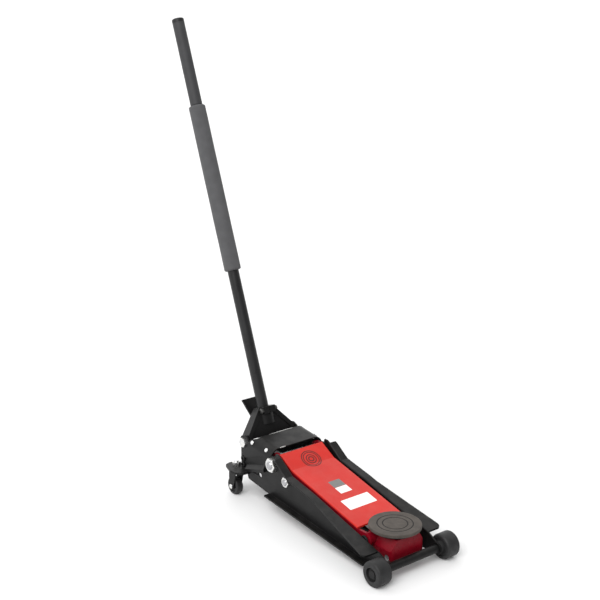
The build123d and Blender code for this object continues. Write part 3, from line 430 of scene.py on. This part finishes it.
def sweep(name, path, radius, sides=10, side=None):
    """A round bar along a path of points, with closed ends. radius may be a function of the step."""
    points, faces = [], []
    path = [Vector(point) for point in path]
    across = side or side_of((path[1] - path[0]).normalized())
    for step, point in enumerate(path):
        ahead = path[min(step + 1, len(path) - 1)] - path[max(step - 1, 0)]
        ahead.normalize()
        across = (across - ahead * across.dot(ahead)).normalized()
        up = ahead.cross(across)
        size = radius(step) if callable(radius) else radius
        for corner in range(sides):
            angle = 2 * math.pi * corner / sides
            points.append(point + size * (across * math.cos(angle) + up * math.sin(angle)))
    for step in range(len(path) - 1):
        for corner in range(sides):
            following = (corner + 1) % sides
            base = step * sides
            faces.append((base + corner, base + following, base + sides + following, base + sides + corner))
    faces.append(tuple(range(sides)))
    faces.append(tuple(len(points) - sides + corner for corner in range(sides)))
    return mesh_from(name, points, faces)


def lathe(name, origin, axis, outline, steps=72):
    """Turns a closed outline of (distance along the axis, radius) round an axis."""
    axis = Vector(axis).normalized()
    first = side_of(axis)
    second = axis.cross(first)
    points, faces = [], []
    count = len(outline)
    for turn in range(steps):
        angle = 2 * math.pi * turn / steps
        spoke = first * math.cos(angle) + second * math.sin(angle)
        points += [Vector(origin) + axis * along + spoke * radius for along, radius in outline]
    for turn in range(steps):
        here, after = turn * count, ((turn + 1) % steps) * count
        for corner in range(count):
            following = (corner + 1) % count
            faces.append((here + corner, here + following, after + following, after + corner))
    return mesh_from(name, points, faces)


def rounded(corners, radius, steps=4):
    """A closed outline with each corner rounded off; a corner may carry its own radius."""
    result = []
    count = len(corners)
    for index, corner in enumerate(corners):
        here = Vector(corner[:2])
        size = corner[2] if len(corner) > 2 else radius
        before = (Vector(corners[index - 1][:2]) - here).normalized()
        after = (Vector(corners[(index + 1) % count][:2]) - here).normalized()
        half = math.acos(max(-1, min(1, before.dot(after)))) / 2
        if size <= 0 or half > math.pi / 2 - 0.02:
            result.append(tuple(here))
            continue
        cut = size / math.tan(half)
        start, end = here + before * cut, here + after * cut
        for step in range(steps + 1):
            share = step / steps
            result.append(tuple(start.lerp(here, share).lerp(here.lerp(end, share), share)))
    return result


def smooth_by_angle(piece, degrees=35):
    """Smooth shading that keeps edges sharper than an angle."""
    mesh = piece.data
    shape = bmesh.new()
    shape.from_mesh(mesh)
    for edge in shape.edges:
        sharp = len(edge.link_faces) == 2 and edge.calc_face_angle(0) > math.radians(degrees)
        edge.smooth = not sharp
    shape.to_mesh(mesh)
    shape.free()
    return piece


# ---- Coil springs ----
def coil(name, start, end, radius, wire, turns, closed=1.0, steps=22):
    """A coil spring with its end turns closed up against its seats."""
    start, end = Vector(start), Vector(end)
    axis = end - start
    length = axis.length
    axis.normalize()
    first = side_of(axis)
    second = axis.cross(first)
    rise = (length - wire * 2 - 2 * closed * wire * 2) / (turns - 2 * closed)
    path = []
    count = int(turns * steps)
    for step in range(count + 1):
        turn = turns * step / count
        flat_low = min(turn, closed) * wire * 2
        free = max(0.0, min(turn, turns - closed) - closed) * rise
        flat_high = max(0.0, turn - (turns - closed)) * wire * 2
        along = wire + flat_low + free + flat_high
        angle = 2 * math.pi * turn
        path.append(start + axis * along + (first * math.cos(angle) + second * math.sin(angle)) * radius)
    return sweep(name, path, wire, 10, side=first)


def spring_piece(name, mesh):
    """A spring piece baked where it stands, between the frame and a moving body."""
    piece = new_piece(name, mesh, MATERIALS["spring_steel"], None)
    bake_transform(piece)
    return piece


spring_low, spring_high = (Vector(corner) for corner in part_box("plunger_spring"))
spring_centre = (spring_low + spring_high) / 2
spring_foot = Vector((spring_centre.x, spring_centre.y, spring_low.z))
spring_head = Vector((spring_centre.x, spring_centre.y, spring_high.z))
PLUNGER_COIL_R, PLUNGER_WIRE_R, PLUNGER_TURNS = 12.7 * MM, 1.05 * MM, 7
plunger_mesh = coil("plunger_coil", spring_foot, spring_head, PLUNGER_COIL_R, PLUNGER_WIRE_R, PLUNGER_TURNS)
plunger_coil = spring_piece("plunger_coil", plunger_mesh)
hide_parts("plunger_spring")


def return_spring(side):
    """A tension spring with a hook at each end, from the block to the crosshead."""
    low, high = (Vector(corner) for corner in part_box("return_springs"))
    row = side * (high.y - 6.4 * MM)
    height = (low.z + high.z) / 2
    foot = Vector((low.x, row, height))
    head = Vector((high.x, row, height))
    radius, wire, hook = 5.2 * MM, 1.1 * MM, 8 * MM
    turns, steps = 14, 20
    path = [foot, foot + Vector((hook * 0.5, 0, 0))]
    body = head.x - foot.x - 2 * hook
    for step in range(turns * steps + 1):
        angle = 2 * math.pi * step / steps
        ease = min(1.0, step / steps, (turns * steps - step) / steps)
        along = hook + body * step / (turns * steps)
        path.append(foot + Vector((along, radius * ease * math.cos(angle), radius * ease * math.sin(angle))))
    path += [head - Vector((hook * 0.5, 0, 0)), head]
    name = "return_coil_right" if side < 0 else "return_coil_left"
    mesh = sweep(name, path, wire, 8, side=Vector((0, 0, 1)))
    return spring_piece(name, mesh)


coils = [return_spring(-1), return_spring(1)]
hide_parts("return_springs")

# ---- Foam sleeve and grip: soft tubes with rolled ends ----
def along_handle(node):
    """The distances from the yoke pivot between which a round node lies on the handle."""
    place = NODES[node].matrix_world
    spans = [(place @ vertex.co - YOKE).dot(UP_HANDLE) for vertex in NODES[node].data.vertices]
    return min(spans), max(spans)


def sleeve(name, node, outer, inner, roll, ripple, material, rings=160, sides=64):
    """A soft sleeve on the handle with rolled ends and a slightly uneven skin."""
    low, high = along_handle(node)
    first = side_of(UP_HANDLE)
    second = UP_HANDLE.cross(first)

    def around(along, angle, radius):
        """A point at a distance up the handle, an angle round it and a radius from its middle."""
        return YOKE + UP_HANDLE * along + (first * math.cos(angle) + second * math.sin(angle)) * radius

    points, faces = [], []
    phases = [random.uniform(0, 2 * math.pi) for _ in range(6)]
    for ring in range(rings + 1):
        share = ring / rings
        along = low + (high - low) * share
        edge = min(along - low, high - along)
        drop = 0.0
        if edge < roll:
            drop = roll - math.sqrt(max(0.0, roll ** 2 - (roll - edge) ** 2))
        for corner in range(sides):
            angle = 2 * math.pi * corner / sides
            wave = sum(
                math.sin(angle * (index % 3 + 1) + along * (14 + 9 * index) + phase)
                for index, phase in enumerate(phases)) / len(phases)
            radius = outer - ripple + ripple * wave - drop
            points.append(around(along, angle, radius))
    base = len(points)
    for along in (low, high):
        for corner in range(sides):
            angle = 2 * math.pi * corner / sides
            points.append(around(along, angle, inner))
    for ring in range(rings):
        for corner in range(sides):
            following = (corner + 1) % sides
            here, after = ring * sides, (ring + 1) * sides
            faces.append((here + corner, here + following, after + following, after + corner))
    last = rings * sides
    for corner in range(sides):
        following = (corner + 1) % sides
        faces.append((base + corner, base + following, following, corner))
        faces.append((last + corner, last + following, base + sides + following, base + sides + corner))
        faces.append((base + corner, base + sides + corner, base + sides + following, base + following))
    mesh = mesh_from(name, points, faces)
    piece = new_piece(name, mesh, material, "handle")
    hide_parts(node)
    return smooth_by_angle(piece, 50)


SLEEVE_BORE = 14.65 * MM
FOAM_R, FOAM_ROLL, FOAM_RIPPLE = 21.7 * MM, 3.2 * MM, 0.22 * MM
GRIP_R, GRIP_ROLL, GRIP_RIPPLE = 15.55 * MM, 0.8 * MM, 0.03 * MM
foam_piece = sleeve("foam_tube", "foam_sleeve", FOAM_R, SLEEVE_BORE, FOAM_ROLL, FOAM_RIPPLE,
                    MATERIALS["foam"])
sleeve("grip_sleeve", "hand_grip", GRIP_R, SLEEVE_BORE, GRIP_ROLL, GRIP_RIPPLE,
       MATERIALS["grip_rubber"])

# ---- Printed marks on the arm: plain rings and blank labels, no lettering ----
ARM_LOW, ARM_HIGH = (Vector(corner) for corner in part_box("lift_arm_top_plate"))
ARM_REAR = Vector((ARM_LOW.x, 0, ARM_HIGH.z))
ARM_BEND = Vector((ARM_LOW.x + 47 * MM, 0, ARM_HIGH.z - 25.5 * MM))
ARM_FRONT = Vector((ARM_HIGH.x, 0, ARM_HIGH.z - 77.5 * MM))


def on_arm(start, end, along, across, lift=0.12 * MM):
    """A point on the arm's top: along from start towards end, across to the left."""
    direction = (end - start).normalized()
    normal = Vector((-direction.z, 0, direction.x))
    return start + direction * along + Vector((0, across, 0)) + normal * lift


def decal(name, start, end, outline, material, thickness=0.14 * MM):
    """A thin printed film with a closed outline of (along, across) points."""
    count = len(outline)
    points = [on_arm(start, end, along, across, 0.01 * MM) for along, across in outline]
    points += [on_arm(start, end, along, across, thickness) for along, across in outline]
    faces = [tuple(range(count)), tuple(range(count, 2 * count))]
    faces += [(i, (i + 1) % count, count + (i + 1) % count, count + i) for i in range(count)]
    return new_piece(name, mesh_from(name, points, faces, smooth=False), material, "lift_arm")


def over_bend(along, across, lift):
    """A point on the arm's top, measured from its rear edge and carried on over the bend."""
    rear = (ARM_BEND - ARM_REAR).length
    if along <= rear:
        return on_arm(ARM_REAR, ARM_BEND, along, across, lift)
    return on_arm(ARM_BEND, ARM_FRONT, along - rear, across, lift)


def ring_decal(name, centre, outer, inner, material, steps=96, thickness=0.2 * MM):
    """A thin printed ring around a centre of (along, across)."""
    points, faces = [], []
    for radius, lift in ((outer, 0.01 * MM), (outer, thickness), (inner, thickness), (inner, 0.01 * MM)):
        for step in range(steps):
            angle = 2 * math.pi * step / steps
            along = centre[0] + radius * math.cos(angle)
            points.append(over_bend(along, centre[1] + radius * math.sin(angle), lift))
    for layer in range(4):
        for step in range(steps):
            following = (step + 1) % steps
            here, after = layer * steps, ((layer + 1) % 4) * steps
            faces.append((here + step, here + following, after + following, after + step))
    return new_piece(name, mesh_from(name, points, faces, smooth=False), material, "lift_arm")


MARK_RED = print_ink("mark_dark_red", (0.085, 0.011, 0.009), 0.4)
LABEL_WHITE = print_ink("label_white", (0.82, 0.82, 0.8), 0.45)
LABEL_GREY = print_ink("label_grey", (0.17, 0.17, 0.165), 0.4)

EMBLEM = (38.5 * MM, 4 * MM)
for index, (outer, inner) in enumerate(((26.5, 24.0), (21.6, 19.4), (14.2, 11.6), (8.2, 5.2))):
    ring_decal(f"emblem_ring_{index + 1}", EMBLEM, outer * MM, inner * MM, MARK_RED)


def box_outline(low, high, radius):
    """A rounded rectangle between two (along, across) corners."""
    return rounded([(low[0], low[1]), (high[0], low[1]), (high[0], high[1]), (low[0], high[1])], radius)


decal("label_small_dark", ARM_BEND, ARM_FRONT,
      box_outline((79 * MM, -17 * MM), (105 * MM, 17 * MM), 1.2 * MM), LABEL_GREY)
decal("label_small_white", ARM_BEND, ARM_FRONT,
      box_outline((106 * MM, -17 * MM), (130 * MM, 17 * MM), 1.2 * MM), LABEL_WHITE)
decal("label_large", ARM_BEND, ARM_FRONT,
      box_outline((153 * MM, -38 * MM), (191 * MM, 44 * MM), 2 * MM), LABEL_WHITE)

# ---- Weld beads ----
HANDLE_BACK = Vector((-UP_HANDLE.z, 0, UP_HANDLE.x))


def on_yoke(up, back, across):
    """A point on the yoke, in millimetres up the handle, behind it and to the left."""
    return YOKE + (UP_HANDLE * up + HANDLE_BACK * back + Vector((0, across, 0))) * MM


def on_frame(forward, across, height):
    """A point on the frame, in millimetres from the front axle, the middle and the floor."""
    return Vector((AXLE.x + forward * MM, across * MM, height * MM))


def weld(name, start, end, body, radius=2.0 * MM, pitch=1.7 * MM):
    """A rippled weld bead along a straight joint, thin at its ends."""
    length = (end - start).length
    count = max(8, int(length / pitch * 4))
    wander = [random.uniform(-0.18, 0.18) * MM for _ in range(count + 1)]
    path = [start.lerp(end, step / count) + Vector((0, 0, wander[step])) for step in range(count + 1)]

    def size(step):
        ripple = 1 + 0.13 * math.cos(2 * math.pi * step / 4)
        taper = min(1.0, 0.55 + step / 8, 0.55 + (count - step) / 8)
        return radius * ripple * taper

    return new_piece(name, sweep(name, path, size, 8), WELD, body)


# Millimetres: the side plate's outer face, the caster plate's top, and the yoke collar's edge
WEB_FACE, CASTER_PLATE_TOP, COLLAR_EDGE = 78.3, 80.3, 20.4
PEDAL_BACK, YOKE_PLATE_BACK = 23.6, -9
for side_name, side in (("right", -1), ("left", 1)):
    weld(f"weld_caster_plate_{side_name}", on_frame(-545, side * WEB_FACE, CASTER_PLATE_TOP),
         on_frame(-470, side * WEB_FACE, CASTER_PLATE_TOP), "frame", 2.2 * MM)
    weld(f"weld_pedal_{side_name}", on_yoke(33, PEDAL_BACK, side * COLLAR_EDGE),
         on_yoke(53, PEDAL_BACK, side * COLLAR_EDGE), "yoke", 1.8 * MM)
    weld(f"weld_yoke_plate_{side_name}", on_yoke(31, YOKE_PLATE_BACK, side * COLLAR_EDGE),
         on_yoke(48, YOKE_PLATE_BACK, side * COLLAR_EDGE), "yoke", 1.8 * MM)

# ---- Painted highlights: thin bright metal lines along the cover's rear and front edges ----
EDGE_HIGHLIGHT_PAINT = Paint("painted_highlight_steel", 0.28, metallic=1.0)
EDGE_HIGHLIGHT_PAINT.tint((0.72, 0.72, 0.7), 0.15, 4 * MM).gloss(0.2, 0.4, 2 * MM)
EDGE_HIGHLIGHT_STEEL = EDGE_HIGHLIGHT_PAINT.bump(EDGE_HIGHLIGHT_PAINT.noise(0.8 * MM, 3.0), 0.03 * MM, 0.5).done()


def painted_highlight_edge(name, start, end, radius):
    """A thin bright line along an edge, fading out at both ends."""
    count = 40
    path = [start.lerp(end, step / count) for step in range(count + 1)]

    def size(step):
        share = step / count
        return radius * max(0.15, math.sin(math.pi * share) ** 0.4) * (1 + random.uniform(-0.12, 0.12))

    return new_piece(name, sweep(name, path, size, 8), EDGE_HIGHLIGHT_STEEL, "frame")


# Bright lines that stand in for the highlights on the cover's rear and front edges
painted_highlight_edge("painted_highlight_rear_edge", on_frame(-491.8, -34, 174.2), on_frame(-491.8, 44, 174.2), 1.1 * MM)
painted_highlight_edge("painted_highlight_front_edge", on_frame(-421.0, -53, 167.7), on_frame(-421.0, -35, 167.7), 1.5 * MM)

# ---- Painted shade: dark rings lying in the saddle pad's grooves ----
PAD_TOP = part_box("saddle_pad")[1][2]
PAD_MIDDLE = middle("saddle_pad")
# A near-black film in the grooves, painted shade for their depth
GROOVE_PAINTED_SHADE = print_ink("groove_painted_shade", (0.012, 0.011, 0.01), 0.8)
GROOVE_RADII = (41.0, 28.5)
SHADE_FILM_LOW, SHADE_FILM_HIGH, SHADE_FILM_HALF = PAD_TOP - 1.2 * MM, PAD_TOP - 0.25 * MM, 1.25 * MM
for index, groove in enumerate(GROOVE_RADII):
    inner, outer = groove * MM - SHADE_FILM_HALF, groove * MM + SHADE_FILM_HALF
    outline = [(SHADE_FILM_LOW, inner), (SHADE_FILM_LOW, outer), (SHADE_FILM_HIGH, outer), (SHADE_FILM_HIGH, inner)]
    name = f"groove_painted_shade_{index + 1}"
    ring = lathe(name, (PAD_MIDDLE.x, PAD_MIDDLE.y, 0), (0, 0, 1), outline, 96)
    smooth_by_angle(new_piece(name, ring, GROOVE_PAINTED_SHADE, "saddle"))

# ---- Camera, lights and floor ----
CAMERA_AZIMUTH = math.radians(52.12)
CAMERA_ELEVATION = math.radians(16.17)
CAMERA_DISTANCE = 2.7965
AIM = Vector((AXLE.x - 0.409, 0, 0.5377))
FOCAL_RATIO = 1175.2 / 600
SENSOR = 36.0

back = Vector((
    math.sin(CAMERA_AZIMUTH) * math.cos(CAMERA_ELEVATION),
    -math.cos(CAMERA_AZIMUTH) * math.cos(CAMERA_ELEVATION),
    math.sin(CAMERA_ELEVATION),
))
camera_data = bpy.data.cameras.new("camera")
camera_data.sensor_width = SENSOR
camera_data.lens = SENSOR * FOCAL_RATIO
camera_data.clip_end = 200
camera = bpy.data.objects.new("camera", camera_data)
bpy.context.collection.objects.link(camera)
camera.location = AIM + back * CAMERA_DISTANCE
camera.rotation_euler = back.to_track_quat("Z", "Y").to_euler()
bpy.context.scene.camera = camera


def sun(name, azimuth, elevation, strength, spread):
    """A wide soft light from a direction: azimuth from the jack's right towards its front."""
    light = bpy.data.lights.new(name, "SUN")
    light.energy = strength
    light.angle = math.radians(spread)
    lamp = bpy.data.objects.new(name, light)
    bpy.context.collection.objects.link(lamp)
    level, turn = math.radians(elevation), math.radians(azimuth)
    toward = Vector((math.sin(turn) * math.cos(level), -math.cos(turn) * math.cos(level), math.sin(level)))
    lamp.rotation_euler = toward.to_track_quat("Z", "Y").to_euler()


sun("key", 30, 44, 2.3, 45)

# The studio's walls and ceiling: brighter overhead, and brighter behind the jack
HORIZON, ZENITH = 0.8, 0.95
DIM_SIDE, BRIGHT_SIDE = 0.35, 1.75
BRIGHT_WALL = (-0.99, -0.12, 0.0)

world = bpy.data.worlds.new("studio")
bpy.context.scene.world = world
world.use_nodes = True
sky = world.node_tree
direction = sky.nodes.new("ShaderNodeTexCoord").outputs["Generated"]


def graded(value, start, end, low, high):
    """Maps a world direction's value between two strengths."""
    made = sky.nodes.new("ShaderNodeMapRange")
    made.inputs["From Min"].default_value = start
    made.inputs["From Max"].default_value = end
    made.inputs["To Min"].default_value = low
    made.inputs["To Max"].default_value = high
    sky.links.new(value, made.inputs["Value"])
    return made.outputs["Result"]


split = sky.nodes.new("ShaderNodeSeparateXYZ")
sky.links.new(direction, split.inputs["Vector"])
wall = sky.nodes.new("ShaderNodeVectorMath")
wall.operation = "DOT_PRODUCT"
wall.inputs[1].default_value = BRIGHT_WALL
sky.links.new(direction, wall.inputs[0])
product = sky.nodes.new("ShaderNodeMath")
product.operation = "MULTIPLY"
sky.links.new(graded(split.outputs["Z"], 0, 1, HORIZON, ZENITH), product.inputs[0])
sky.links.new(graded(wall.outputs["Value"], -1, 1, DIM_SIDE, BRIGHT_SIDE), product.inputs[1])
sky.links.new(product.outputs["Value"], sky.nodes["Background"].inputs["Strength"])
sky.nodes["Background"].inputs["Color"].default_value = (1, 1, 1, 1)

floor_paint = Paint("studio_floor", 0.7, specular=0.2)
floor_paint.tint((0.8, 0.8, 0.8), 0.01, 0.5)
floor = bpy.data.objects.new("studio_floor", mesh_from(
    "studio_floor", [(-60, -60, 0), (60, -60, 0), (60, 60, 0), (-60, 60, 0)], [(0, 1, 2, 3)], smooth=False))
bpy.context.collection.objects.link(floor)
floor.data.materials.append(floor_paint.done())

bpy.context.scene.view_settings.view_transform = "Standard"
